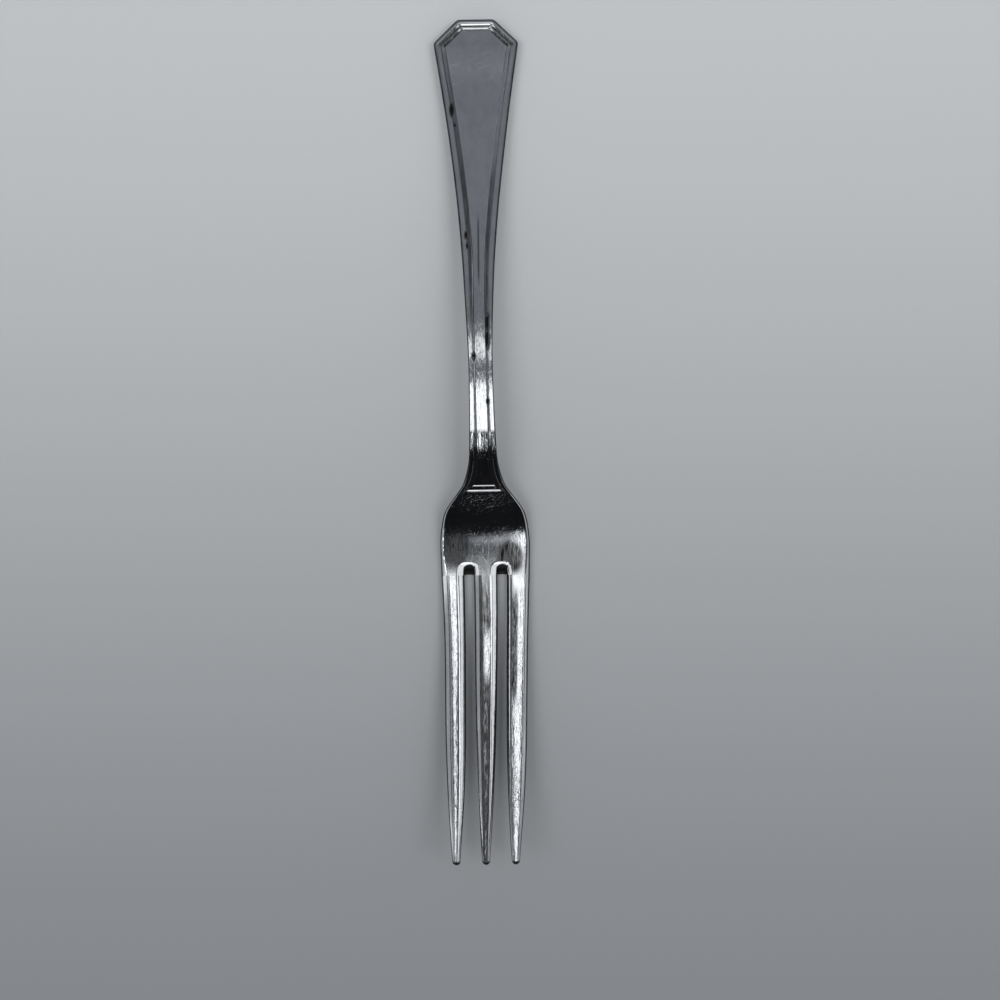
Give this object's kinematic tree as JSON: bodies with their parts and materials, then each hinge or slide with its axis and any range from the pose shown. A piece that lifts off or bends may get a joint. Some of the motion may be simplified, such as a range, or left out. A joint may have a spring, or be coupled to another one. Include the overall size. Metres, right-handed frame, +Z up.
{
  "type": "seafood fork",
  "caption": "Slender polished seafood fork with a cut-cornered handle, an engraved double-line border, a narrow arched neck and long tapering tines.",
  "frame": {"origin": "on the table, under the middle of the fork's length and width, as the fork lies face up", "axes": "+Y towards the end of the handle, the points towards -Y; +Z up out of the face of the fork; +X to the right seen from above with the handle away"},
  "size_m": [0.016, 0.15, 0.0086],
  "materials": {
    "silver_plate": "worn polished silver plate, fine scratches all over and dark tarnish in the engraved lines"
  },
  "bodies": {
    "root": {"handle": "silver_plate", "neck": "silver_plate", "root": "silver_plate", "tine_left": "silver_plate", "tine_middle": "silver_plate", "tine_right": "silver_plate"}
  },
  "joints": []
}
